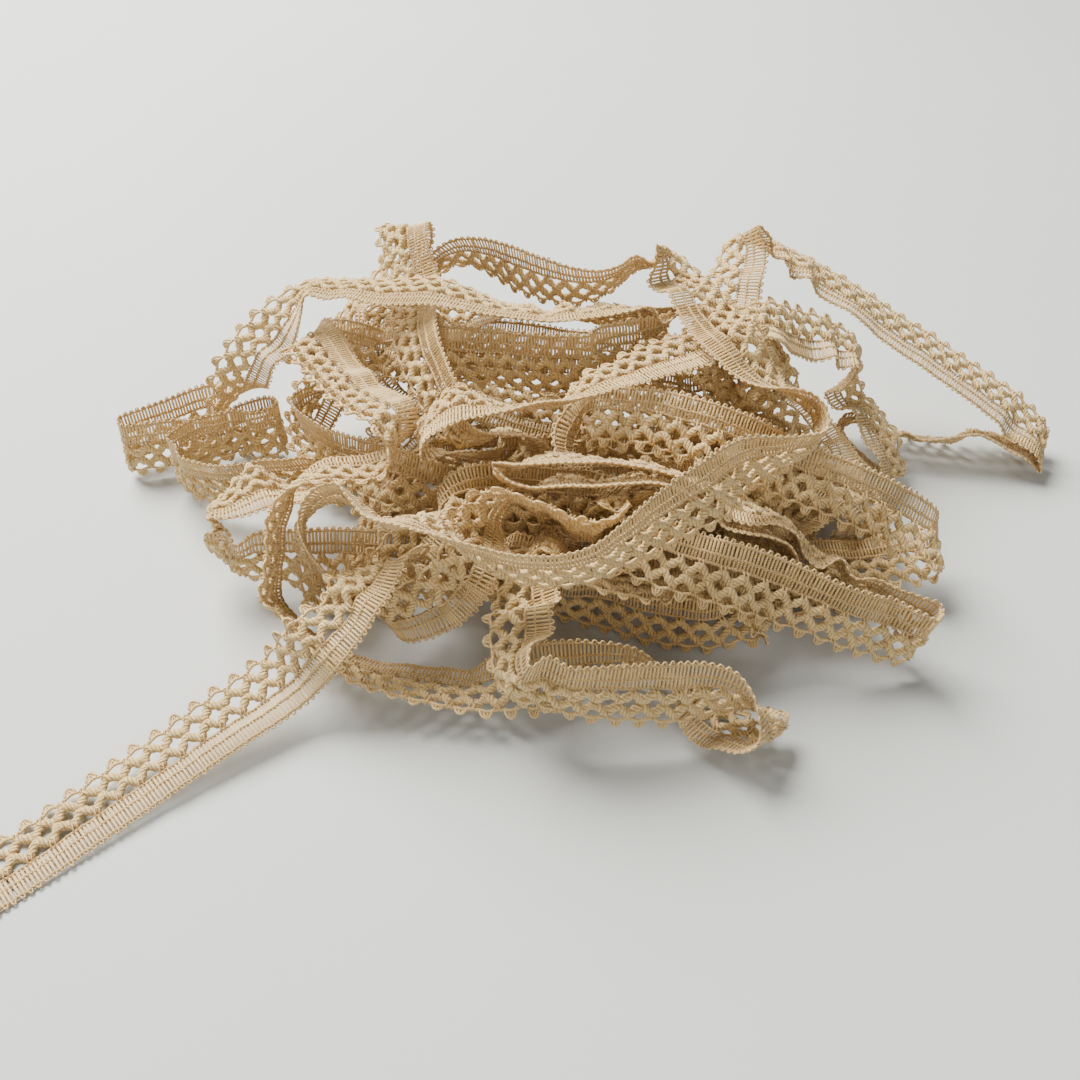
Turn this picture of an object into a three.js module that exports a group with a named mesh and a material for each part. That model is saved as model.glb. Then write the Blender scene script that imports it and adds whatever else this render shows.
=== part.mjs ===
import * as THREE from "three";

// The trim as it is cut: half-inch cotton lace with one straight edge and one picot edge.
const trimWidth = 12.7;
const trimThickness = 1;

// How the trim is divided along its length and across its width while it settles.
const sectionStep = 4;
const probesAcross = 6;
const probesAlong = 2;
const layerSpacing = 2.1;
const safeSpacing = 3;
const ownLength = 9;
const flatSections = 5;

// How the heap is lowered: it starts tall, so that what lies on top stays on top.
const startLift = 8;
const crossingReach = 3;
const crossingRoom = 4;
const stackingRounds = 1500;
const loweringRounds = 500;
const settlingRounds = 120;
const sweepsPerRound = 4;
const roundsPerSearch = 3;
const searchReach = 4.5;
const longestPull = 0.5;
const firmPull = 0.16;
const loosePull = 0.03;
const edgeStiffness = 0.5;
const widthStiffness = 0.9;
const braceStiffness = 0.25;
const bendStiffness = 0.02;

const cottonColour = 0xe6d3b3;
const cottonRoughness = 0.95;

// One row for each bend, rise or fold of a stretch, from the loose tail to the inner end.
// x, y and z place the middle of the trim in mm. The picot edge points towards turn, in degrees
// from +X towards +Y, and rises by tilt degrees. A firm stretch keeps its place as the heap settles.
const columns = ["x", "y", "z", "turn", "tilt"];
const stretches = [
  { name: "loose tail", firm: true, rows: [
    [-90, -82, 1, 128, 0],
    [-81, -73, 1, 128, 0],
    [-74, -66, 1, 128, 0],
    [-65, -57, 2, 131, 4],
    [-57, -51, 4, 136, 7],
    [-50, -45, 6, 138, 13],
    [-42, -39, 8, 143, 18],
    [-36, -39, 12, 140, 12],
    [-33, -38, 17, 138, 0],
    [-29, -36, 21, 140, -15],
    [-27, -31, 20, 140, -20],
  ] },
  { name: "under the middle", firm: false, rows: [
    [-23, -23, 14, 140, -40],
    [-14, -18, 9, 120, -60],
    [-2, -19, 8, 100, -75],
  ] },
  { name: "inside of the low front loop", firm: true, rows: [
    [10, -23, 8, -90, -78],
    [18, -27, 7, -80, -80],
    [26, -29, 6, -60, -76],
    [33, -30, 6, -40, -74],
    [39, -29, 6, 0, -76],
    [42, -26, 8, -60, -60],
    [36, -26, 12, -98, 5],
    [30, -25, 15, -104, 22],
    [24, -25, 16, -98, 25],
    [17, -24, 16, -95, 20],
    [10, -25, 17, -95, 25],
  ] },
  { name: "small front coil", firm: true, rows: [
    [-1, -26, 22, -76, 54],
    [-3, -23, 24, -81, 58],
    [-7, -20, 24, -93, 58],
    [-11, -21, 24, -97, 53],
    [-14, -24, 23, -96, 54],
  ] },
  { name: "behind the coils", firm: false, rows: [
    [-18, -20, 18, -110, 30],
    [-14, -12, 15, -100, -50],
    [-2, -9, 15, -90, -66],
    [10, -10, 16, -90, -66],
    [19, -14, 20, -90, -40],
    [21, -20, 24, -95, 20],
  ] },
  { name: "large front coil", firm: true, rows: [
    [13, -23, 26, -97, 31],
    [7, -23, 27, -92, 33],
    [0, -21, 27, -83, 55],
    [-4, -17, 27, -76, 52],
    [-10, -16, 27, -92, 54],
    [-14, -18, 26, -105, 48],
    [-17, -24, 24, -95, 50],
  ] },
  { name: "hanging fan at the front", firm: true, rows: [
    [-15, -29, 17, 60, 65],
    [-19, -32, 11, 80, 62],
    [-24, -33, 10, 90, 62],
    [-28, -30, 11, 110, 62],
  ] },
  { name: "first inner turns", firm: false, rows: [
    [-30, -22, 13, 120, 50],
    [-24, -13, 18, 100, 10],
    [-8, -6, 19, 92, -44],
    [10, -8, 15, 90, -60],
    [26, -14, 11, 100, -70],
    [38, -6, 9, 150, -70],
    [36, 8, 9, -120, -70],
    [20, 16, 10, -100, -70],
    [0, 18, 10, -90, -70],
    [-22, 14, 10, -60, -70],
    [-34, 2, 9, 0, -70],
    [-36, -12, 7, 20, -60],
    [-37, -22, 6, 100, -50],
  ] },
  { name: "smooth strap", firm: true, rows: [
    [-37, -26, 9, 125, -48],
    [-39, -24, 13, 127, -43],
    [-42, -21, 19, 130, -40],
    [-43, -20, 24, 125, -43],
  ] },
  { name: "garland over the front", firm: true, rows: [
    [-40, -19, 26, 112, -50],
    [-34, -17, 27, 106, -49],
    [-27, -23, 28, 108, -52],
    [-20, -29, 29, 111, -54],
    [-15, -34, 30, 111, -55],
    [-8, -38, 30, 106, -59],
    [0, -39, 29, 100, -68],
    [7, -38, 29, 72, -72],
    [14, -31, 29, 43, -58],
    [20, -25, 29, 43, -55],
    [28, -21, 29, 58, -56],
    [35, -16, 28, 63, -51],
    [43, -10, 28, 65, -48],
    [48, -7, 29, 63, -43],
    [49, -2, 31, 84, -37],
    [47, 1, 33, 79, -36],
    [43, 5, 35, 67, -19],
    [37, 6, 37, 56, 5],
    [33, 10, 39, 47, 10],
    [31, 20, 40, 37, 4],
    [30, 30, 41, 35, 1],
    [27, 40, 42, 45, -4],
  ] },
  { name: "arched strand at the back", firm: true, rows: [
    [22, 38, 43, 80, -20],
    [12, 31, 39, 92, -58],
    [5, 33, 39, 108, -64],
    [-5, 40, 38, 115, -70],
    [-14, 47, 37, 98, -62],
    [-20, 50, 35, 84, -45],
    [-24, 49, 31, 81, -34],
  ] },
  { name: "second inner turns", firm: false, rows: [
    [-27, 44, 23, 80, -50],
    [-20, 36, 15, 60, -70],
    [-4, 33, 14, 90, -75],
    [16, 32, 14, 90, -75],
    [34, 26, 14, 60, -75],
    [46, 12, 14, 0, -75],
    [46, -4, 13, -30, -75],
    [32, -14, 15, -90, -75],
    [14, -14, 17, -90, -75],
    [-6, -10, 16, -90, -75],
    [-26, -4, 15, -120, -75],
    [-44, 6, 14, 180, -75],
    [-50, 22, 14, 160, -75],
    [-46, 38, 17, 140, -60],
    [-38, 48, 24, 140, -40],
  ] },
  { name: "upright loop at the back", firm: true, rows: [
    [-32, 53, 32, 140, -25],
    [-29, 54, 40, 138, -18],
    [-28, 49, 44, 137, -15],
    [-27, 40, 40, 140, -19],
    [-27, 31, 35, 139, -21],
    [-25, 22, 34, 143, -26],
    [-21, 11, 31, 151, -37],
    [-18, 4, 29, 142, -42],
    [-15, -1, 27, 137, -45],
    [-10, -3, 25, 148, -57],
    [1, -5, 22, 145, -60],
  ] },
  { name: "under the garland", firm: false, rows: [
    [-3, -10, 19, 150, -50],
    [-12, -16, 13, 150, -20],
    [-10, -25, 11, 150, -10],
    [-5, -32, 15, 140, -22],
  ] },
  { name: "front ribbon", firm: true, rows: [
    [-2, -36, 20, 136, -20],
    [-4, -40, 19, 148, -5],
    [-7, -44, 17, 165, -20],
    [-6, -48, 15, -170, -52],
    [0, -50, 14, -140, -74],
    [6, -51, 14, -112, -80],
    [11, -50, 14, -97, -76],
    [17, -49, 14, -94, -72],
    [22, -48, 13, -84, -70],
    [27, -47, 12, -55, -74],
    [32, -48, 10, 2, -64],
    [37, -51, 7, 24, -38],
    [39, -54, 4, 44, -12],
    [34, -49, 3, 44, -14],
    [30, -44, 3, 48, -14],
  ] },
  { name: "under the front ribbon", firm: false, rows: [
    [23, -38, 4, 60, -25],
    [14, -35, 5, 80, -60],
    [5, -38, 5, -90, -70],
    [-4, -42, 5, -90, -20],
  ] },
  { name: "low strand beside the tail", firm: true, rows: [
    [-10, -44, 5, -90, 15],
    [-17, -43, 5, -95, 18],
    [-24, -41, 5, -95, 18],
    [-30, -38, 5, -90, 22],
    [-37, -34, 6, -85, 35],
  ] },
  { name: "twisted strand at the left", firm: true, rows: [
    [-43, -30, 8, -80, 42],
    [-48, -26, 12, -83, 44],
    [-46, -23, 17, -95, 44],
    [-45, -19, 24, -116, 40],
    [-44, -14, 27, -118, 38],
    [-37, -13, 27, -80, 15],
    [-29, -9, 26, -75, 8],
    [-25, -7, 28, -95, 10],
    [-24, -5, 32, -120, 10],
    [-27, -1, 33, -128, 5],
    [-34, 5, 32, -128, 11],
    [-42, 15, 31, -138, 9],
    [-45, 25, 30, -130, 12],
  ] },
  { name: "under the arch", firm: false, rows: [
    [-46, 33, 24, -120, 0],
    [-38, 38, 17, -100, -40],
    [-26, 33, 19, -90, -65],
  ] },
  { name: "shaded strand under the arch", firm: true, rows: [
    [-19, 21, 31, -90, -76],
    [-8, 18, 33, -90, -80],
    [3, 15, 33, -90, -80],
    [15, 19, 32, -90, -76],
    [24, 24, 32, -90, -60],
  ] },
  { name: "arch over the back", firm: true, rows: [
    [22, 29, 36, 85, -8],
    [10, 22, 37, 96, -6],
    [3, 21, 37, 98, -5],
    [-8, 24, 37, 92, -12],
    [-19, 27, 38, 90, -6],
    [-28, 32, 38, 101, -13],
    [-41, 35, 37, 104, -15],
    [-51, 37, 34, 138, 2],
    [-56, 34, 31, 160, 18],
    [-58, 30, 27, 168, 10],
    [-63, 29, 21, 175, 10],
    [-65, 30, 15, 185, 5],
  ] },
  { name: "outer loops on the left", firm: true, rows: [
    [-66, 33, 9, 200, -40],
    [-72, 29, 7, -120, -76],
    [-81, 26, 6, -120, -76],
    [-88, 23, 6, -120, -76],
    [-89, 20, 6, -120, -76],
    [-82, 20, 6, -120, -76],
    [-74, 24, 6, -120, -78],
    [-67, 28, 6, -120, -82],
    [-59, 30, 7, -130, -84],
    [-54, 27, 9, -140, -84],
    [-57, 23, 10, -140, -82],
    [-64, 23, 11, -140, -80],
    [-72, 20, 9, -160, -78],
    [-75, 15, 7, 159, -78],
    [-70, 8, 8, 166, -76],
    [-59, 6, 9, 136, -74],
    [-48, 8, 11, 110, -60],
  ] },
  { name: "loop at the left front", firm: true, rows: [
    [-43, 2, 17, 110, -20],
    [-45, -6, 20, 110, 2],
    [-52, -9, 20, 104, 12],
    [-59, -8, 18, 112, 5],
    [-63, -9, 14, 145, -35],
    [-63, -12, 10, 200, -66],
    [-58, -14, 7, 250, -78],
    [-50, -15, 7, 265, -78],
    [-42, -15, 7, 272, -78],
  ] },
  { name: "third inner turns", firm: false, rows: [
    [-32, -14, 7, 275, -80],
    [-18, -13, 8, 270, -86],
    [0, -10, 8, 90, -84],
    [12, -2, 14, 70, -60],
    [8, 8, 22, 0, -30],
    [2, 5, 28, -60, -10],
  ] },
  { name: "broad ribbon over the middle", firm: true, rows: [
    [11, 0, 31, -92, -30],
    [19, -3, 32, -98, -42],
    [27, -6, 31, -102, -48],
    [38, -8, 28, -110, -50],
    [46, -8, 25, -108, -52],
    [55, -9, 21, -110, -52],
    [65, -10, 16, -110, -50],
    [73, -9, 11, -112, -50],
    [71, -13, 6, -114, -15],
    [62, -13, 4, -105, 0],
  ] },
  { name: "under the broad ribbon", firm: false, rows: [
    [50, -9, 5, -100, -10],
    [38, -11, 6, -90, -40],
    [30, -12, 7, -90, -60],
    [18, -13, 10, -90, -70],
    [6, -14, 15, -90, -76],
    [7, -20, 19, -90, -76],
  ] },
  { name: "right-hand front ribbon", firm: true, rows: [
    [17, -27, 23, -90, -74],
    [26, -28, 21, -108, -72],
    [36, -29, 18, -112, -70],
    [47, -33, 14, -108, -72],
    [57, -34, 10, -95, -74],
    [65, -35, 8, -110, -78],
    [66, -31, 8, 150, -80],
    [59, -26, 10, 61, -74],
    [53, -19, 13, 60, -40],
    [45, -18, 17, 67, -28],
    [40, -15, 21, 65, -24],
  ] },
  { name: "pair of edge-on strands", firm: true, rows: [
    [36, -14, 26, 82, -36],
    [27, -14, 30, 90, -42],
    [17, -13, 30, 90, -42],
    [7, -12, 30, 90, -42],
    [-3, -13, 30, 90, -42],
    [-9, -12, 28, 90, -42],
    [-4, -14, 26, 90, -42],
    [4, -16, 28, 90, -42],
    [17, -16, 28, 90, -42],
    [27, -17, 27, 90, -42],
    [35, -18, 25, 98, -44],
  ] },
  { name: "dark strand beside the hollow", firm: true, rows: [
    [40, -18, 20, 107, -43],
    [43, -21, 15, 83, -44],
  ] },
  { name: "fourth inner turns", firm: false, rows: [
    [43, -23, 9, 70, -60],
    [38, -18, 6, 110, -80],
    [39, -8, 7, 160, -84],
    [44, 2, 9, -160, -84],
    [38, 8, 12, 90, -84],
  ] },
  { name: "fifth inner turns", firm: false, rows: [
    [24, 3, 13, 90, -76],
    [8, 4, 14, 90, -70],
    [-10, 2, 17, 90, -70],
    [-22, -3, 22, 90, -60],
    [-24, -8, 27, 92, -50],
  ] },
  { name: "thin strand over the middle", firm: true, rows: [
    [-17, -5, 31, 94, -48],
    [-12, -2, 32, 91, -48],
    [-5, 0, 33, 90, -46],
    [4, 0, 34, 90, -42],
    [12, 2, 35, 104, -20],
    [20, 6, 36, 103, 0],
    [26, 12, 36, 108, 2],
    [32, 19, 35, 100, 0],
    [39, 23, 35, 91, 0],
    [48, 28, 33, 90, 14],
    [57, 30, 30, 84, 18],
    [65, 30, 26, 60, 12],
    [66, 31, 20, 52, 4],
    [64, 30, 12, 60, -17],
  ] },
  { name: "small loop on the table", firm: true, rows: [
    [66, 26, 7, 62, -38],
    [70, 21, 6, 65, -42],
    [73, 16, 6, 65, -42],
    [70, 14, 5, 65, -42],
    [67, 20, 5, 65, -42],
    [64, 27, 5, 65, -42],
  ] },
  { name: "long loop on the right", firm: true, rows: [
    [67, 32, 6, 67, -36],
    [74, 30, 5, 64, -40],
    [79, 24, 5, 61, -44],
    [86, 25, 5, 58, -48],
    [99, 28, 4, 65, -25],
    [108, 25, 3, 60, -6],
    [107, 25, 6, 42, 0],
    [101, 28, 11, 40, 4],
    [91, 31, 16, 50, 0],
    [81, 35, 21, 63, 5],
    [72, 40, 26, 74, 9],
    [63, 44, 31, 81, 7],
    [54, 48, 36, 81, 3],
    [45, 49, 40, 90, -8],
    [38, 45, 42, 118, -28],
  ] },
  { name: "folds at the back right", firm: true, rows: [
    [41, 38, 40, 150, -10],
    [37, 30, 38, 150, -10],
    [34, 22, 35, 150, -14],
  ] },
  { name: "inner end", firm: false, rows: [
    [30, 14, 30, 160, -30],
    [36, 8, 25, -120, -40],
    [46, 14, 23, -60, -40],
    [52, 24, 22, -30, -40],
    [47, 35, 28, 10, -30],
    [40, 40, 32, 60, -30],
    [28, 36, 30, 90, -40],
    [14, 38, 26, 90, -60],
    [0, 42, 24, 100, -60],
  ] },
  { name: "first low turn", firm: false, rows: [
    [-14, 48, 19, 100, -30],
    [-28, 50, 15, 110, 0],
    [-42, 46, 12, 130, 20],
    [-52, 36, 10, 165, 30],
    [-54, 24, 8, 180, 20],
    [-48, 12, 7, -140, 0],
    [-36, 5, 7, -105, -20],
    [-20, 4, 7, -90, -40],
    [0, 6, 7, -90, -40],
    [20, 4, 7, -95, -40],
    [38, -2, 7, -100, -30],
    [52, -4, 7, -60, -10],
    [60, 6, 8, -10, 10],
    [56, 18, 9, 40, 30],
    [42, 26, 10, 75, 42],
    [24, 30, 10, 85, 42],
    [4, 30, 10, 90, 42],
    [-16, 30, 10, 95, 42],
  ] },
  { name: "second low turn", firm: false, rows: [
    [-32, 26, 10, 130, 30],
    [-38, 14, 9, 180, 10],
    [-30, 2, 9, -120, -20],
    [-14, -6, 9, -95, -40],
    [6, -8, 9, -90, -42],
    [26, -12, 8, -100, -40],
    [42, -18, 8, -95, -40],
    [56, -22, 8, -70, -20],
    [66, -14, 8, -10, 0],
    [64, -2, 9, 30, 20],
    [52, 8, 10, 60, 40],
    [36, 14, 12, 75, 42],
    [18, 18, 12, 85, 42],
    [0, 18, 12, 90, 40],
    [-16, 21, 14, 85, 30],
    [-28, 29, 18, 60, 15],
    [-37, 38, 24, 45, 0],
  ] },
  { name: "small fold at the back left", firm: false, rows: [
    [-41, 46, 31, 10, -10],
    [-36, 50, 33, -50, -20],
    [-28, 46, 27, -110, -30],
    [-18, 40, 20, -105, -40],
    [-4, 38, 16, -92, -42],
    [12, 40, 14, -88, -40],
    [28, 42, 14, -88, -40],
    [42, 38, 14, -130, -30],
    [52, 28, 12, -140, -20],
    [60, 16, 10, -170, -10],
    [62, 2, 9, 175, 10],
    [56, -8, 9, 130, 30],
    [44, -10, 10, 100, 40],
    [30, -4, 12, 80, 42],
    [16, 0, 13, 85, 42],
  ] },
];

function readRows() {
  return stretches.flatMap(({ firm, rows }) =>
    rows.map((row) => {
      const named = Object.fromEntries(columns.map((column, i) => [column, row[i]]));
      return { ...named, pull: firm ? firmPull : loosePull };
    }),
  );
}

function picotDirection({ turn, tilt }) {
  const turnAngle = THREE.MathUtils.degToRad(turn);
  const tiltAngle = THREE.MathUtils.degToRad(tilt);
  return new THREE.Vector3(
    Math.cos(tiltAngle) * Math.cos(turnAngle),
    Math.cos(tiltAngle) * Math.sin(turnAngle),
    Math.sin(tiltAngle),
  );
}

// The guide is the smooth line through the rows, divided into equal steps.
function makeGuide(rows) {
  const middle = new THREE.CatmullRomCurve3(
    rows.map(({ x, y, z }) => new THREE.Vector3(x, y, z)),
    false,
    "centripetal",
  );
  middle.arcLengthDivisions = rows.length * 24;
  const directions = rows.map(picotDirection);
  const steps = Math.round(middle.getLength() / sectionStep);
  return Array.from({ length: steps + 1 }, (_, i) => {
    const t = middle.getUtoTmapping(i / steps);
    const place = t * (rows.length - 1);
    const before = Math.min(Math.floor(place), rows.length - 2);
    const share = THREE.MathUtils.smoothstep(place - before, 0, 1);
    return {
      middle: middle.getPoint(t),
      across: directions[before].clone().lerp(directions[before + 1], share).normalize(),
      pull: THREE.MathUtils.lerp(rows[before].pull, rows[before + 1].pull, share),
    };
  });
}

function cellKey(x, y, z) {
  return (x + 512) * 1048576 + (y + 512) * 1024 + z + 512;
}

// Pairs of sections that lie over each other when seen from above.
function findOverlaps(guide) {
  const tests = [-0.5, -0.25, 0, 0.25, 0.5];
  const cells = new Map();
  guide.forEach(({ middle, across }, section) => {
    for (const share of tests) {
      const x = middle.x + across.x * share * trimWidth;
      const y = middle.y + across.y * share * trimWidth;
      const key = cellKey(Math.floor(x / crossingReach), Math.floor(y / crossingReach), 0);
      if (!cells.has(key)) cells.set(key, []);
      cells.get(key).push({ section, x, y });
    }
  });
  const overlaps = new Map();
  for (const spots of cells.values()) {
    for (const low of spots) {
      for (const high of spots) {
        if (high.section - low.section < ownLength / sectionStep) continue;
        overlaps.set(low.section * guide.length + high.section, [low.section, high.section]);
      }
    }
  }
  return overlaps;
}

// Neighbouring overlaps belong to one crossing, where the same strand stays on top throughout.
function sortCrossings(guide, overlaps) {
  const crossings = [];
  const waiting = new Map(overlaps);
  for (const [key, first] of overlaps) {
    if (!waiting.delete(key)) continue;
    const pairs = [first];
    for (const [low, high] of pairs) {
      for (let n = 0; n < 25; n += 1) {
        const next = [low + (n % 5) - 2, high + Math.floor(n / 5) - 2];
        if (waiting.delete(next[0] * guide.length + next[1])) pairs.push(next);
      }
    }
    const rise = pairs.reduce((sum, [low, high]) => sum + guide[high].middle.z - guide[low].middle.z, 0);
    crossings.push(...pairs.map(([low, high]) => (rise > 0 ? [low, high] : [high, low])));
  }
  return crossings;
}

// The starting heights: the heap is drawn out upwards until no strand cuts through another.
function stackHeights(guide) {
  const crossings = sortCrossings(guide, findOverlaps(guide));
  const rises = guide.map(({ across }) => (Math.abs(across.z) * trimWidth) / 2);
  const heights = guide.map(({ middle }) => middle.z * startLift);
  for (let round = 0; round < stackingRounds; round += 1) {
    for (const [under, over] of crossings) {
      const room = rises[under] + rises[over] + crossingRoom;
      const lack = room - (heights[over] - heights[under]);
      if (lack <= 0) continue;
      heights[over] += 0.25 * lack;
      heights[under] -= 0.25 * lack;
    }
    for (let i = 1; i < heights.length - 1; i += 1) {
      const level = (heights[i - 1] + heights[i + 1]) / 2;
      heights[i] = THREE.MathUtils.lerp(heights[i], level, 0.1);
    }
  }
  const lowest = Math.min(...heights.map((height, i) => height - rises[i]));
  return heights.map((height) => height - lowest);
}

// The straight edge and the picot edge are two rows of points, kept as one list of vectors:
// an even place is on the straight edge, the odd place after it is across from it on the picot edge.
function startEdges(guide, heights) {
  return guide.flatMap(({ middle, across }, i) => {
    const lifted = middle.clone().setZ(heights[i]);
    return [
      lifted.clone().addScaledVector(across, -trimWidth / 2),
      lifted.clone().addScaledVector(across, trimWidth / 2),
    ];
  });
}

const offset = new THREE.Vector3();

function pullToGuide(edges, guide, heights, lift, strength) {
  guide.forEach(({ middle, across, pull }, i) => {
    for (const side of [0, 1]) {
      const point = edges[2 * i + side];
      offset.copy(middle).setZ(THREE.MathUtils.lerp(middle.z, heights[i], lift));
      offset.addScaledVector(across, (side - 0.5) * trimWidth).sub(point);
      point.add(offset.multiplyScalar(pull * strength).clampLength(0, longestPull));
    }
  });
}

function keepDistance(first, second, distance, stiffness) {
  offset.subVectors(second, first);
  const length = offset.length() || 1e-6;
  offset.multiplyScalar((0.5 * stiffness * (length - distance)) / length);
  first.add(offset);
  second.sub(offset);
}

function keepCut(edges) {
  const brace = Math.hypot(trimWidth, sectionStep);
  for (let i = 0; i < edges.length; i += 2) {
    keepDistance(edges[i], edges[i + 1], trimWidth, widthStiffness);
    if (i + 3 < edges.length) {
      keepDistance(edges[i], edges[i + 2], sectionStep, edgeStiffness);
      keepDistance(edges[i + 1], edges[i + 3], sectionStep, edgeStiffness);
      keepDistance(edges[i], edges[i + 3], brace, braceStiffness);
      keepDistance(edges[i + 1], edges[i + 2], brace, braceStiffness);
    }
  }
}

function keepSmooth(edges) {
  for (let i = 2; i < edges.length - 2; i += 1) {
    offset.addVectors(edges[i - 2], edges[i + 2]).multiplyScalar(0.5);
    edges[i].lerp(offset, bendStiffness);
  }
}

// The loose end lies flat, and nothing else goes below the table.
function keepOnTable(edges) {
  const lowest = trimThickness / 2;
  edges.forEach((point, i) => {
    point.z = i < 2 * flatSections ? lowest : Math.max(point.z, lowest);
  });
}

// A probe is a place on the trim between four neighbouring edge points, held by its share of each.
function makeProbes(edges) {
  const probes = [];
  for (let section = 0; section < edges.length - 2; section += 2) {
    const corners = edges.slice(section, section + 4);
    for (let j = 0; j < probesAlong; j += 1) {
      for (let k = 0; k < probesAcross; k += 1) {
        const along = j / probesAlong;
        const across = k / (probesAcross - 1);
        const shares = [
          (1 - along) * (1 - across),
          (1 - along) * across,
          along * (1 - across),
          along * across,
        ];
        const grip = 1 / shares.reduce((sum, share) => sum + share ** 2, 0);
        probes.push({ section, corners, shares, grip, place: new THREE.Vector3() });
      }
    }
  }
  return probes;
}

function placeProbes(probes) {
  for (const { corners, shares, place } of probes) {
    place.set(0, 0, 0);
    for (let k = 0; k < 4; k += 1) place.addScaledVector(corners[k], shares[k]);
  }
}

function sortIntoCells(probes) {
  const cells = new Map();
  for (const probe of probes) {
    probe.cell = probe.place.toArray().map((value) => Math.floor(value / searchReach));
    const key = cellKey(...probe.cell);
    if (!cells.has(key)) cells.set(key, []);
    cells.get(key).push(probe);
  }
  return cells;
}

function findNeighbours(probes) {
  placeProbes(probes);
  const cells = sortIntoCells(probes);
  const ownSections = (2 * ownLength) / sectionStep;
  const pairs = [];
  for (const probe of probes) {
    const [x, y, z] = probe.cell;
    for (let n = 0; n < 27; n += 1) {
      const key = cellKey(x + (n % 3) - 1, y + (Math.floor(n / 3) % 3) - 1, z + Math.floor(n / 9) - 1);
      for (const other of cells.get(key) ?? []) {
        const apart = other.section - probe.section > ownSections;
        if (apart && other.place.distanceTo(probe.place) < searchReach) pairs.push([probe, other]);
      }
    }
  }
  return pairs;
}

function pushProbe({ corners, shares, grip }, push) {
  for (let k = 0; k < 4; k += 1) corners[k].addScaledVector(push, shares[k] * grip);
}

// Two layers that come closer than the spacing push each other away.
function keepApart(probes, neighbours, spacing) {
  placeProbes(probes);
  for (const [probe, other] of neighbours) {
    offset.subVectors(other.place, probe.place);
    const gap = offset.length() || 1e-6;
    if (gap >= spacing) continue;
    offset.multiplyScalar((0.3 * (spacing - gap)) / gap);
    pushProbe(other, offset);
    pushProbe(probe, offset.negate());
  }
}

function settle(guide) {
  const heights = stackHeights(guide);
  const edges = startEdges(guide, heights);
  const probes = makeProbes(edges);
  const allRounds = loweringRounds + settlingRounds;
  let neighbours = [];
  for (let round = 0; round < allRounds; round += 1) {
    const lift = Math.max(0, 1 - round / loweringRounds);
    const strength = Math.min(1, (allRounds - round) / settlingRounds);
    const spacing = THREE.MathUtils.lerp(layerSpacing, safeSpacing, strength);
    if (round % roundsPerSearch === 0) neighbours = findNeighbours(probes);
    pullToGuide(edges, guide, heights, lift, strength);
    for (let sweep = 0; sweep < sweepsPerRound; sweep += 1) {
      keepCut(edges);
      keepSmooth(edges);
      keepApart(probes, neighbours, spacing);
      keepOnTable(edges);
    }
  }
  return edges;
}

// The face direction of a section comes from its neighbours, so that the thickness turns with the trim.
function faceDirection(edges, i) {
  const last = edges.length - 2;
  const from = Math.max(i - 2, 0);
  const to = Math.min(i + 2, last);
  const along = edges[to].clone().add(edges[to + 1]).sub(edges[from]).sub(edges[from + 1]);
  const across = edges[i + 1].clone().sub(edges[i]);
  return along.cross(across).normalize();
}

function trimGeometry(edges) {
  const positions = [];
  for (let i = 0; i < edges.length; i += 2) {
    const face = faceDirection(edges, i).multiplyScalar(trimThickness / 2);
    const [straight, picot] = [edges[i], edges[i + 1]];
    positions.push(...straight.clone().add(face).toArray());
    positions.push(...picot.clone().add(face).toArray());
    positions.push(...picot.clone().sub(face).toArray());
    positions.push(...straight.clone().sub(face).toArray());
  }
  const faces = [];
  const last = positions.length / 3 - 4;
  for (let ring = 0; ring < last; ring += 4) {
    for (let side = 0; side < 4; side += 1) {
      const a = ring + side;
      const b = ring + ((side + 1) % 4);
      faces.push(a, a + 4, b, b, a + 4, b + 4);
    }
  }
  faces.push(0, 1, 2, 0, 2, 3);
  faces.push(last, last + 2, last + 1, last, last + 3, last + 2);
  const geometry = new THREE.BufferGeometry();
  geometry.setAttribute("position", new THREE.Float32BufferAttribute(positions, 3));
  geometry.setIndex(faces);
  return geometry;
}

const cotton = new THREE.MeshStandardMaterial({
  color: cottonColour,
  roughness: cottonRoughness,
  metalness: 0,
});

function makeTrim() {
  const geometry = trimGeometry(settle(makeGuide(readRows())));
  geometry.computeBoundingBox();
  const { min, max } = geometry.boundingBox;
  geometry.translate(-(min.x + max.x) / 2, -(min.y + max.y) / 2, -min.z);
  geometry.computeVertexNormals();
  const trim = new THREE.Mesh(geometry, cotton);
  trim.name = "lace_trim";
  return trim;
}

const part = new THREE.Group();
part.add(makeTrim());

export default part;
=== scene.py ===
import math

import bmesh
import bpy
import numpy as np
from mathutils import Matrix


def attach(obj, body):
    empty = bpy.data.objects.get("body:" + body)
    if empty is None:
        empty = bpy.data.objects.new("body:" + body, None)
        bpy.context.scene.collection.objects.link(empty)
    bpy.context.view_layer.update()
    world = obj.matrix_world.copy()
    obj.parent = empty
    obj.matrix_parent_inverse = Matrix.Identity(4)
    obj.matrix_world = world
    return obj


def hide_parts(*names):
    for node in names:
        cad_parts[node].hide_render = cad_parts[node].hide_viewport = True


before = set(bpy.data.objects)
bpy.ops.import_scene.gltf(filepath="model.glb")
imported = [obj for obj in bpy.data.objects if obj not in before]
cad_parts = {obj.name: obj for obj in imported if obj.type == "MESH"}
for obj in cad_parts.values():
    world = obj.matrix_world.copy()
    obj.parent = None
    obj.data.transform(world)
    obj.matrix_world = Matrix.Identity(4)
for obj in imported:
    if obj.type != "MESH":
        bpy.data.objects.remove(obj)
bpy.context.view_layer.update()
mm = 0.001
print("frame loaded")

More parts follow.
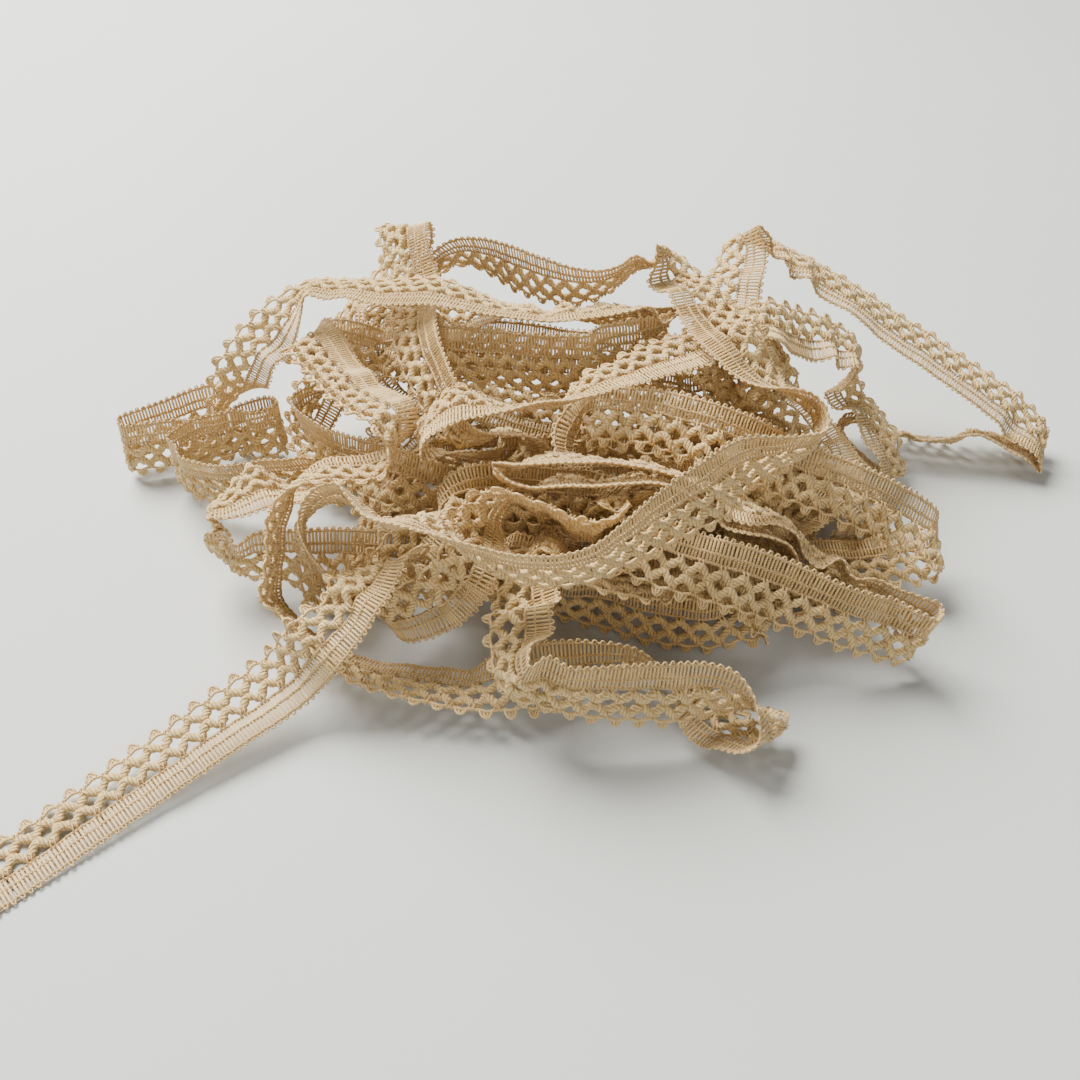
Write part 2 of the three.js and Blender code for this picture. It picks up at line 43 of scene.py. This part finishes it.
trim = {
    "node": "lace_trim",
    "width": 12.7,  # mm, straight edge to picot tips
    "thickness": 1.0,  # mm, of the CAD strip
    "repeat": 3.75,  # mm along the trim, one picot to the next
    "threadShare": 0.33,  # of the flat trim, the rest is holes
    "sway": 0.14,  # mm, how unevenly the lace was made
    "swayWaves": (7.3, 11.9, 19.7, 41.0),  # mm
    "swaySeed": 3,
    "liftSeed": 5,
    "swayFrom": 6.0,  # mm from the straight edge, where the full sideways sway starts
    "swayLift": 0.6,  # share of the sway that goes up and down
    "pressed": 0.03,  # mm, the lowest a thread lies on the table
}
reading = {
    "sameCorner": 0.02,  # mm, corners closer than this are one
    "pairReach": 1.5,  # thicknesses, a shorter edge joins the two corners of a pair
    "linkReach": 0.6,  # widths, a shorter edge joins a pair to the next one
    "finer": 8,  # measuring points for each station
    "lookAhead": 0.1,  # stations, to find which way the trim runs
}


# The CAD strip is read back as its two edges. Each edge point is a pair of corners a thickness apart.
def readTrimEdges():
    work = bmesh.new()
    work.from_mesh(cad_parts[trim["node"]].data)
    bmesh.ops.remove_doubles(work, verts=work.verts, dist=reading["sameCorner"] * mm)
    work.verts.index_update()
    pairOf = {}
    places = []
    for edge in work.edges:
        if edge.calc_length() < reading["pairReach"] * trim["thickness"] * mm:
            for corner in edge.verts:
                pairOf[corner.index] = len(places)
            places.append((edge.verts[0].co + edge.verts[1].co) / 2)
    links = [set() for _ in places]
    for edge in work.edges:
        first, second = (pairOf[corner.index] for corner in edge.verts)
        if first != second and edge.calc_length() < reading["linkReach"] * trim["width"] * mm:
            links[first].add(second)
            links[second].add(first)
    work.free()
    ends = [p for p in range(len(places)) if len(links[p]) == 1]
    tailEnds = sorted(ends, key=lambda p: places[p].x)[:2]
    edges = []
    for start in tailEnds:
        walk = [start]
        while True:
            onward = [p for p in links[walk[-1]] if len(walk) < 2 or p != walk[-2]]
            if not onward:
                break
            walk.append(onward[0])
        edges.append(np.array([places[p] for p in walk]))
    edges.sort(key=lambda edge: edge[0][1] - edge[0][0])  # the tail's picots point to the back left
    return edges


straightEdge, picotEdge = readTrimEdges()
print("trim read:", len(straightEdge), "stations")


# Smooth curve through a row of points, at station numbers t.
def smoothAt(points, t):
    i = np.clip(np.floor(t).astype(int), 0, len(points) - 2)
    u = (t - i)[:, None]
    p0 = points[np.maximum(i - 1, 0)]
    p1 = points[i]
    p2 = points[i + 1]
    p3 = points[np.minimum(i + 2, len(points) - 1)]
    square = (2 * p0 - 5 * p1 + 4 * p2 - p3) * u**2
    cube = (3 * p1 - p0 - 3 * p2 + p3) * u**3
    return 0.5 * (2 * p1 + (p2 - p0) * u + square + cube)


middleLine = (straightEdge + picotEdge) / 2
fineStations = np.linspace(0, len(middleLine) - 1, reading["finer"] * len(middleLine))
fineSteps = np.linalg.norm(np.diff(smoothAt(middleLine, fineStations), axis=0), axis=1)
fineLengths = np.concatenate([[0], np.cumsum(fineSteps)]) / mm
trimLength = fineLengths[-1]
repeats = int(trimLength / trim["repeat"])
pitch = trimLength / repeats
print("trim length", round(trimLength), "mm,", repeats, "repeats")


def unit(vectors):
    return vectors / np.maximum(np.linalg.norm(vectors, axis=-1, keepdims=True), 1e-12)


# Slow uneven drift, so that no two repeats are quite alike.
def drift(s, seed):
    rng = np.random.default_rng(seed)
    total = np.zeros_like(s)
    for wave in trim["swayWaves"]:
        total += np.sin(2 * math.pi * s / wave + rng.uniform(0, 6.28))
    return total / 2


# Flat lace (along, across, up from the cloth, in mm) laid onto the trim, in metres.
def layOnTrim(flat):
    s = np.clip(flat[:, 0], 0, trimLength)
    swayShare = np.clip(flat[:, 1] / trim["swayFrom"], 0, 1)
    across = flat[:, 1] + trim["sway"] * drift(s, trim["swaySeed"]) * swayShare
    lift = flat[:, 2] + trim["sway"] * drift(s, trim["liftSeed"]) * trim["swayLift"]
    t = np.interp(s, fineLengths, fineStations)
    left = smoothAt(straightEdge, t)
    right = smoothAt(picotEdge, t)
    ahead = smoothAt(middleLine, np.minimum(t + reading["lookAhead"], len(middleLine) - 1))
    behind = smoothAt(middleLine, np.maximum(t - reading["lookAhead"], 0))
    normal = unit(np.cross(ahead - behind, right - left))
    places = left + (right - left) * (across / trim["width"])[:, None] + normal * (lift * mm)[:, None]
    places[:, 2] = np.maximum(places[:, 2], trim["pressed"] * mm)
    return places


# How far along each route its points are, in mm.
def walkAlong(routes, ring):
    walked = np.linalg.norm(np.diff(routes, axis=1), axis=2).cumsum(axis=1)
    walked = np.concatenate([np.zeros((len(routes), 1)), walked], axis=1)
    if ring:
        points = routes.shape[1]
        walked = np.concatenate([walked, walked[:, -1:] * points / (points - 1)], axis=1)
    return walked


# Round threads along flat routes (copies, points, 3), laid onto the trim as one mesh.
def makeThreads(
    name,
    routes,
    radius,
    sides,
    material,
    ring=False,  # each route closes on itself
    upright=(0, 0, 1),  # a direction that no route runs along
    flatness=1.0,  # height over width
    twist=None,  # plies that show in the outline, for the thick cords
):
    copies, points, _ = routes.shape
    walked = walkAlong(routes, ring)
    if ring:
        forward = unit(np.roll(routes, -1, axis=1) - np.roll(routes, 1, axis=1))
    else:
        forward = unit(np.gradient(routes, axis=1))
    out = unit(np.cross(forward, np.array(upright, dtype=float)))
    lift = flatness * np.cross(out, forward)
    turn = 2 * math.pi * np.arange(sides) / sides
    radius = np.broadcast_to(radius, (copies, points))[:, :, None]
    if twist:
        plies = np.cos(2 * math.pi * walked[:, :, None] / twist["pitch"] + 2 * turn)
        radius = radius * (1 - twist["depth"] * plies)
    circle = np.cos(turn)[:, None] * out[:, :, None, :] + np.sin(turn)[:, None] * lift[:, :, None, :]
    corners = (routes[:, :, None, :] + radius[..., None] * circle).reshape(-1, 3)
    steps = points if ring else points - 1
    i, k = np.meshgrid(np.arange(steps), np.arange(sides), indexing="ij")
    nextI = (i + 1) % points
    nextK = (k + 1) % sides
    here = i * sides
    there = nextI * sides
    quads = np.stack([here + k, there + k, there + nextK, here + nextK], axis=-1).reshape(-1, 4)
    offsets = np.arange(copies) * points * sides
    faces = (quads[None] + offsets[:, None, None]).reshape(-1, 4).tolist()
    if not ring:
        first = np.arange(sides)
        last = first[::-1] + (points - 1) * sides
        faces += (first[None] + offsets[:, None]).tolist()
        faces += (last[None] + offsets[:, None]).tolist()
    mesh = bpy.data.meshes.new(name)
    mesh.from_pydata(layOnTrim(corners).tolist(), [], faces)
    mesh.polygons.foreach_set("use_smooth", np.ones(len(mesh.polygons), dtype=bool))

    # the thread's own UV: along it in mm, and once round it
    u0 = walked[:, i.ravel()]
    u1 = walked[:, i.ravel() + 1]
    v0 = np.broadcast_to(k.ravel() / sides, u0.shape)
    v1 = v0 + 1 / sides
    quadCorners = ((u0, v0), (u1, v0), (u1, v1), (u0, v1))
    uv = np.stack([np.stack(corner, axis=-1) for corner in quadCorners], axis=2).reshape(-1, 2)
    layer = mesh.uv_layers.new(name="thread")
    spare = len(mesh.loops) - len(uv)
    layer.data.foreach_set("uv", np.concatenate([uv, np.zeros((spare, 2))]).ravel())

    piece = bpy.data.objects.new(name, mesh)
    bpy.context.collection.objects.link(piece)
    mesh.materials.append(material)
    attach(piece, "root")
    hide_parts(trim["node"])
    print(name, "made:", len(mesh.polygons), "faces")
    return piece


yarnPattern = {
    "unevenScale": 650.0,  # noise that makes the strands wander
    "unevenAmount": 1.1,  # strands
    "strandRoundness": 0.6,  # lower is plumper
    "fibreDetail": 3.0,
    "fibreRoughness": 0.6,
    "patchScale": 90.0,  # slow patches of darker cotton
    "patchDetail": 2.0,
    "patchAmount": 0.3,
    "grooveShadeSharpness": 1.15,  # higher keeps the painted shade to the bottom of each groove
    "sheenRoughness": 0.5,
}


# Twisted yarn: slanting uneven strands from the thread's UV, and loose fibres from Object noise, with
# painted shade between the strands.
def makeYarnGroup():
    group = bpy.data.node_groups.new("twistedYarn", "ShaderNodeTree")
    socket = group.interface.new_socket
    socket("Strand length", in_out="INPUT", socket_type="NodeSocketFloat").default_value = 1.0
    socket("Strands", in_out="INPUT", socket_type="NodeSocketFloat").default_value = 2.0
    socket("Fibre scale", in_out="INPUT", socket_type="NodeSocketFloat").default_value = 3000.0
    socket("Fibre share", in_out="INPUT", socket_type="NodeSocketFloat").default_value = 0.4
    socket("Light", in_out="INPUT", socket_type="NodeSocketColor").default_value = (0.8, 0.7, 0.5, 1)
    # Dark is painted shade between the strands, and also the colour of the darker cotton patches
    socket("Dark", in_out="INPUT", socket_type="NodeSocketColor").default_value = (0.6, 0.45, 0.25, 1)
    socket("Color", in_out="OUTPUT", socket_type="NodeSocketColor")
    socket("Height", in_out="OUTPUT", socket_type="NodeSocketFloat")
    nodes, link = group.nodes, group.links.new
    given = nodes.new("NodeGroupInput")
    result = nodes.new("NodeGroupOutput")
    uvMap = nodes.new("ShaderNodeUVMap")
    uvMap.uv_map = "thread"
    place = nodes.new("ShaderNodeTexCoord")

    def maths(operation, first, second):
        node = nodes.new("ShaderNodeMath")
        node.operation = operation
        for position, value in enumerate((first, second)):
            if isinstance(value, (int, float)):
                node.inputs[position].default_value = value
            elif value is not None:
                link(value, node.inputs[position])
        return node.outputs[0]

    split = nodes.new("ShaderNodeSeparateXYZ")
    link(uvMap.outputs["UV"], split.inputs[0])
    uneven = nodes.new("ShaderNodeTexNoise")
    uneven.inputs["Scale"].default_value = yarnPattern["unevenScale"]
    link(place.outputs["Object"], uneven.inputs["Vector"])
    along = maths("DIVIDE", split.outputs["X"], given.outputs["Strand length"])
    along = maths("ADD", along, maths("MULTIPLY", uneven.outputs["Fac"], yarnPattern["unevenAmount"]))
    around = maths("MULTIPLY", split.outputs["Y"], given.outputs["Strands"])
    wave = maths("SINE", maths("MULTIPLY", maths("ADD", along, around), math.pi), None)
    strand = maths("POWER", maths("ABSOLUTE", wave, None), yarnPattern["strandRoundness"])

    fibres = nodes.new("ShaderNodeTexNoise")
    fibres.inputs["Detail"].default_value = yarnPattern["fibreDetail"]
    fibres.inputs["Roughness"].default_value = yarnPattern["fibreRoughness"]
    link(place.outputs["Object"], fibres.inputs["Vector"])
    link(given.outputs["Fibre scale"], fibres.inputs["Scale"])
    height = nodes.new("ShaderNodeMix")
    height.data_type = "FLOAT"
    link(given.outputs["Fibre share"], height.inputs["Factor"])
    link(strand, height.inputs["A"])
    link(fibres.outputs["Fac"], height.inputs["B"])

    patches = nodes.new("ShaderNodeTexNoise")
    patches.inputs["Scale"].default_value = yarnPattern["patchScale"]
    patches.inputs["Detail"].default_value = yarnPattern["patchDetail"]
    link(place.outputs["Object"], patches.inputs["Vector"])
    # Painted shade: the colour goes towards Dark where the height is low, between the strands and in
    # the dips of the fibre noise; slow patches of darker cotton are added to it
    grooveShade = maths("SUBTRACT", 1.0, height.outputs["Result"])
    grooveShade = maths("POWER", grooveShade, yarnPattern["grooveShadeSharpness"])
    share = maths("ADD", grooveShade, maths("MULTIPLY", patches.outputs["Fac"], yarnPattern["patchAmount"]))
    tone = nodes.new("ShaderNodeMix")
    tone.data_type = "RGBA"
    link(share, tone.inputs["Factor"])
    link(given.outputs["Light"], tone.inputs["A"])
    link(given.outputs["Dark"], tone.inputs["B"])
    link(tone.outputs["Result"], result.inputs["Color"])
    link(height.outputs["Result"], result.inputs["Height"])
    return group


yarnGroup = makeYarnGroup()
patternSockets = ("Strand length", "Strands", "Fibre scale", "Fibre share", "Light", "Dark")


def makeYarn(name, values):
    material = bpy.data.materials.new(name)
    material.use_nodes = True
    nodes, link = material.node_tree.nodes, material.node_tree.links.new
    shader = nodes["Principled BSDF"]
    yarn = nodes.new("ShaderNodeGroup")
    yarn.node_tree = yarnGroup
    for socketName in patternSockets:
        yarn.inputs[socketName].default_value = values[socketName]
    bump = nodes.new("ShaderNodeBump")
    bump.inputs["Strength"].default_value = values["bump"]
    bump.inputs["Distance"].default_value = values["depth"] * mm
    link(yarn.outputs["Color"], shader.inputs["Base Color"])
    link(yarn.outputs["Height"], bump.inputs["Height"])
    link(bump.outputs["Normal"], shader.inputs["Normal"])
    shader.inputs["Roughness"].default_value = values["roughness"]
    shader.inputs["Specular IOR Level"].default_value = values["gloss"]
    shader.inputs["Sheen Weight"].default_value = values["sheen"]
    shader.inputs["Sheen Roughness"].default_value = yarnPattern["sheenRoughness"]
    return material


# Each yarn's Dark is painted shade between its strands, and the colour of its darker patches
softYarn = makeYarn("softCordYarn", {
    "Light": (0.94, 0.72, 0.345, 1),
    "Dark": (0.36, 0.18, 0.035, 1),
    "Strand length": 0.7,  # mm from groove to groove
    "Strands": 4.0,  # a whole number, round the thread
    "Fibre scale": 2600.0,
    "Fibre share": 0.55,
    "bump": 1.0,
    "depth": 0.36,  # mm
    "roughness": 0.95,
    "gloss": 0.2,
    "sheen": 0.25,
})
fineYarn = makeYarn("fineThreadYarn", {
    "Light": (0.92, 0.69, 0.32, 1),
    "Dark": (0.34, 0.17, 0.035, 1),
    "Strand length": 0.45,
    "Strands": 2.0,
    "Fibre scale": 5000.0,
    "Fibre share": 0.35,
    "bump": 0.7,
    "depth": 0.08,
    "roughness": 0.55,
    "gloss": 0.5,
    "sheen": 0.15,
})
chainYarn = makeYarn("chainThreadYarn", {
    "Light": (0.72, 0.51, 0.24, 1),
    "Dark": (0.24, 0.12, 0.03, 1),
    "Strand length": 0.6,
    "Strands": 2.0,
    "Fibre scale": 5000.0,
    "Fibre share": 0.35,
    "bump": 0.8,
    "depth": 0.12,
    "roughness": 0.8,
    "gloss": 0.3,
    "sheen": 0.15,
})
print("cotton materials made")


# Copies of one flat route, one for each start along the trim.
def repeated(route, starts):
    route = np.array(route, dtype=float)
    routes = np.repeat(route[None], len(starts), axis=0)
    routes[:, :, 0] += starts[:, None]
    return routes


# One unbroken flat route down the whole trim, from its phase in the repeat.
def unbroken(pointsPerRepeat, across, up):
    endGap = 0.2  # mm
    s = np.linspace(endGap, trimLength - endGap, repeats * pointsPerRepeat + 1)
    phase = 2 * math.pi * s / pitch
    return s, np.stack([s, across(s, phase), up(s, phase)], axis=-1)[None]


starts = np.arange(repeats) * pitch

ladder = {
    "threadRadius": 0.235,
    "loopRadius": 0.17,
    "pairPitch": 1.28,  # mm, a thread out and back
    "edge": 0.05,  # mm from the straight edge, where a thread turns back
    "firstLine": 0.65,
    "middleLine": 3.05,
    "lastLine": 4.75,
    "tuck": 0.15,  # mm that a thread goes past the last line
    "lean": 0.03,  # mm up or down between two lines
    "shoulder": 0.26,  # mm from the edge, where a turning loop starts
    "bulge": 0.06,  # mm that it goes past the edge
    "loopStart": 0.04,  # share of the gap between two threads
    "loopTurn": 0.27,  # share of the same gap
    "sides": 4,
    "seed": 11,
    "unevenPitch": 0.04,
    "unevenLoops": 0.09,
}


def makeLadder():
    pairs = int(trimLength / ladder["pairPitch"])
    gap = trimLength / pairs / 2
    top = ladder["lastLine"] + ladder["tuck"]
    shoulder = ladder["edge"] + ladder["shoulder"]
    turnBack = ladder["edge"] - ladder["bulge"]
    lean = ladder["lean"]
    out = 0.5 * gap
    back = 1.5 * gap
    route = [
        (out, top, lean),
        (out, ladder["firstLine"], -lean),
        (out + ladder["loopStart"] * gap, shoulder, 0),
        (out + ladder["loopTurn"] * gap, turnBack, 0),
        (back - ladder["loopTurn"] * gap, turnBack, 0),
        (back - ladder["loopStart"] * gap, shoulder, 0),
        (back, ladder["firstLine"], lean),
        (back, top, -lean),
    ]
    radii = np.full(len(route), ladder["threadRadius"])
    radii[2:6] = ladder["loopRadius"]
    pairStarts = np.arange(pairs) * 2 * gap
    routes = repeated(route, pairStarts)
    rng = np.random.default_rng(ladder["seed"])
    routes[:, :, 0] += rng.normal(0, ladder["unevenPitch"], (len(pairStarts), 1))
    routes[:, 3:5, 1] += rng.normal(0, ladder["unevenLoops"], (len(pairStarts), 1))
    return makeThreads("ladderThreads", routes, radii, ladder["sides"], fineYarn)


ladderThreads = makeLadder()

chain = {
    "lines": ("firstLine", "middleLine", "lastLine"),  # of the ladder
    "radius": 0.31,
    "bead": 0.08,  # mm that each stitch is thicker in its middle
    "stitchesPerRepeat": 3,
    "wander": 0.06,
    "lift": 0.05,
    "sides": 4,
}


def makeChains():
    stitches = chain["stitchesPerRepeat"]
    routes = []
    radii = []
    for number, lineName in enumerate(chain["lines"]):
        line = ladder[lineName]
        s, route = unbroken(
            2 * stitches,
            lambda s, phase: line + chain["wander"] * np.sin(stitches * phase / 2 + number),
            lambda s, phase: chain["lift"] * np.sin(stitches * phase / 2),
        )
        routes.append(route[0])
        radii.append(chain["radius"] + chain["bead"] * np.cos(stitches * 2 * math.pi * s / pitch))
    return makeThreads("chainStitches", np.array(routes), np.array(radii), chain["sides"], chainYarn)


chainStitches = makeChains()

cords = {
    "inner": {"across": 6.6, "swing": 0.74, "radius": 0.76, "seed": 21},  # mm
    "outer": {"across": 9.1, "swing": -0.76, "radius": 0.78, "seed": 22},  # swings the other way
    "twist": {"pitch": 1.4, "depth": 0.16},  # mm from ply to ply, and share of the radius
    "flatness": 0.8,  # height over width
    "pointsPerRepeat": 15,
    "sides": 7,
    "bow": 0.1,  # share of the swing that rounds the zigzag's corners
    "unevenSwing": 0.08,
    "lift": 0.14,  # mm up and down where the cords cross
    "unevenLift": 0.05,
    "pinch": 0.05,  # share of the radius, at the crossings
    "unevenRadius": 0.04,
    "slubs": 0.08,  # share of the radius, thick and thin places in the yarn
}


def makeCord(name, values):
    def across(s, phase):
        bend = (1 - cords["bow"]) * np.cos(phase) + cords["bow"] * np.cos(3 * phase)
        uneven = 1 + cords["unevenSwing"] * drift(s, values["seed"])
        return values["across"] + values["swing"] * bend * uneven

    def up(s, phase):
        crossing = cords["lift"] * np.sin(phase + values["seed"])
        return crossing + cords["unevenLift"] * drift(s, values["seed"] + 5)

    s, route = unbroken(cords["pointsPerRepeat"], across, up)
    rng = np.random.default_rng(values["seed"])
    plump = 1 + cords["pinch"] * np.cos(4 * math.pi * s / pitch)
    plump += cords["unevenRadius"] * drift(s * 3, values["seed"] + 9)
    plump += rng.normal(0, cords["slubs"], len(s))
    return makeThreads(
        name,
        route,
        values["radius"] * plump[None],
        cords["sides"],
        softYarn,
        flatness=cords["flatness"],
        twist=cords["twist"],
    )


innerCord = makeCord("innerCord", cords["inner"])
outerCord = makeCord("outerCord", cords["outer"])

edging = {
    "across": 10.95,  # mm from the straight edge
    "swing": 0.25,
    "lift": 0.06,
    "radius": 0.3,
    "pointsPerRepeat": 8,
    "sides": 5,
}


def makeEdging():
    _, route = unbroken(
        edging["pointsPerRepeat"],
        lambda s, phase: edging["across"] + edging["swing"] * np.cos(phase),
        lambda s, phase: edging["lift"] * np.sin(phase * 2),
    )
    return makeThreads("edgeThread", route, edging["radius"], edging["sides"], fineYarn)


edgeThread = makeEdging()

picot = {
    "halfWidth": 0.88,
    "foot": 0.1,  # mm above the edge thread's middle
    "tip": 12.75,  # mm from the straight edge
    "radius": 0.23,
    "sides": 4,
    "seed": 31,
    "unevenLean": 0.14,
    "unevenReach": 0.1,
    "stretch": (0, 0.3, 0.8, 1),  # how much of both each point takes, foot to tip
}


# A whole picot loop from the points of its left half, the last of which is its tip.
def wholeLoop(leftHalf):
    left = [(-aside * picot["halfWidth"], across, up) for aside, across, up in leftHalf]
    right = [(-x, across, up) for x, across, up in left[-2::-1]]
    return left + right


def makePicots():
    foot = edging["across"] + picot["foot"]
    tip = picot["tip"] - picot["radius"]
    # share of the half width, mm across, mm up from the cloth
    outer = wholeLoop([
        (1, foot, 0.1),
        (0.92, foot + 0.55, 0.1),
        (0.55, tip - 0.25, 0.08),
        (0, tip, 0.05),
    ])
    inner = wholeLoop([
        (0.35, foot, -0.1),
        (0.32, foot + 0.4, -0.12),
        (0.22, tip - 0.5, -0.1),
        (0, tip - 0.3, -0.1),
    ])
    picotStarts = starts[1:]
    routes = np.concatenate([repeated(outer, picotStarts), repeated(inner, picotStarts)])
    rng = np.random.default_rng(picot["seed"])
    lean = rng.normal(0, picot["unevenLean"], len(picotStarts))
    reach = rng.normal(0, picot["unevenReach"], len(picotStarts))
    stretch = np.array(picot["stretch"] + picot["stretch"][-2::-1])
    routes[:, :, 0] += np.tile(lean, 2)[:, None] * stretch
    routes[:, :, 1] += np.tile(reach, 2)[:, None] * stretch
    return makeThreads("picots", routes, picot["radius"], picot["sides"], fineYarn)


picots = makePicots()

binding = {
    "radius": 0.17,
    "points": 6,
    "sides": 3,
    "meetsAt": 0.5,  # share of a repeat, where a cord comes nearest
    "aside": 0.35,  # mm to each side of that place
    "slant": 0.25,
    # mm across where a wrap starts and ends, and how far it stands off the cloth
    "toBand": {"low": 4.6, "high": 6.2, "rise": 0.72},
    "toEdge": {"low": 9.7, "high": 11.05, "rise": 0.74},
}


# A fine thread is wrapped twice round each place where a cord meets the band or the edge thread.
def makeBindings():
    turn = 2 * math.pi * np.arange(binding["points"]) / binding["points"]
    meetStarts = starts[1:-1] + binding["meetsAt"] * pitch
    routes = []
    for wrap in (binding["toBand"], binding["toEdge"]):
        middle = (wrap["low"] + wrap["high"]) / 2
        reach = (wrap["high"] - wrap["low"]) / 2
        for aside in (-binding["aside"], binding["aside"]):
            route = np.stack([
                aside + binding["slant"] * np.cos(turn),
                middle + reach * np.cos(turn),
                wrap["rise"] * np.sin(turn),
            ], axis=-1)
            routes.append(repeated(route, meetStarts))
    return makeThreads(
        "bindingStitches",
        np.concatenate(routes),
        binding["radius"],
        binding["sides"],
        fineYarn,
        ring=True,
        upright=(1, 0, 0),
    )


bindingStitches = makeBindings()

print("lace laid along the trim")

table = {
    "size": 12.0,  # m
    "color": (0.58, 0.59, 0.56, 1),
    "darker": (0.55, 0.565, 0.53, 1),
    "markScale": 14.0,
    "markDetail": 4.0,
    "roughness": 0.6,
    "gloss": 0.2,
}


def makeTable():
    bpy.ops.object.select_all(action="DESELECT")
    bpy.ops.mesh.primitive_plane_add(size=table["size"], location=(0, 0, 0))
    floor = bpy.context.object
    floor.name = "tableTop"
    material = bpy.data.materials.new("paleTable")
    material.use_nodes = True
    nodes, link = material.node_tree.nodes, material.node_tree.links.new
    shader = nodes["Principled BSDF"]
    place = nodes.new("ShaderNodeTexCoord")
    noise = nodes.new("ShaderNodeTexNoise")
    noise.inputs["Scale"].default_value = table["markScale"]
    noise.inputs["Detail"].default_value = table["markDetail"]
    tone = nodes.new("ShaderNodeMix")
    tone.data_type = "RGBA"
    tone.inputs["A"].default_value = table["color"]
    tone.inputs["B"].default_value = table["darker"]
    link(place.outputs["Object"], noise.inputs["Vector"])
    link(noise.outputs["Fac"], tone.inputs["Factor"])
    link(tone.outputs["Result"], shader.inputs["Base Color"])
    shader.inputs["Roughness"].default_value = table["roughness"]
    shader.inputs["Specular IOR Level"].default_value = table["gloss"]
    floor.data.materials.append(material)


makeTable()

studio = {
    "sky": (0.93, 0.96, 1.0, 1),
    "skyStrength": 0.22,
    "aimAt": (0, 0, 0.02),
    # places and sizes in m, power in W
    "window": {"place": (-0.44, 0.5, 0.76), "size": 0.75, "power": 40.0, "color": (1.0, 0.985, 0.96)},
    "fill": {"place": (0.25, -1.0, 0.5), "size": 0.8, "power": 5.0, "color": (1, 1, 1)},
}


def aimAt(light, target):
    direction = np.array(target) - np.array(light.location)
    flat = math.hypot(direction[0], direction[1])
    tilt = math.atan2(flat, -direction[2])
    turn = math.atan2(-direction[0], direction[1])
    light.rotation_euler = (tilt, 0, turn)


def addLight(name, values):
    lamp = bpy.data.lights.new(name, "AREA")
    lamp.shape = "DISK"
    lamp.size = values["size"]
    lamp.energy = values["power"]
    lamp.color = values["color"]
    light = bpy.data.objects.new(name, lamp)
    light.location = values["place"]
    bpy.context.collection.objects.link(light)
    aimAt(light, studio["aimAt"])


addLight("windowLight", studio["window"])
addLight("fillLight", studio["fill"])
world = bpy.data.worlds.new("softSky")
world.use_nodes = True
background = world.node_tree.nodes["Background"]
background.inputs["Color"].default_value = studio["sky"]
background.inputs["Strength"].default_value = studio["skyStrength"]
bpy.context.scene.world = world

cameraValues = {
    "fromTailEnd": (90.0, -76.0, 147.5),  # mm from the middle of the tail's end, on the table
    "lookDown": 43.0,  # degrees
    "lens": 36.1,
    "sensorWidth": 36.0,
    "clipStart": 0.005,
}


def makeCamera():
    tailEnd = middleLine[0]
    camera = bpy.data.cameras.new("photoCamera")
    camera.lens = cameraValues["lens"]
    camera.sensor_width = cameraValues["sensorWidth"]
    camera.sensor_fit = "HORIZONTAL"
    camera.clip_start = cameraValues["clipStart"]
    holder = bpy.data.objects.new("photoCamera", camera)
    x, y, z = cameraValues["fromTailEnd"]
    holder.location = (tailEnd[0] + x * mm, tailEnd[1] + y * mm, z * mm)
    holder.rotation_euler = (math.radians(90 - cameraValues["lookDown"]), 0, 0)
    bpy.context.collection.objects.link(holder)
    bpy.context.scene.camera = holder


makeCamera()
print("table, light and camera set")

bpy.context.view_layer.update()
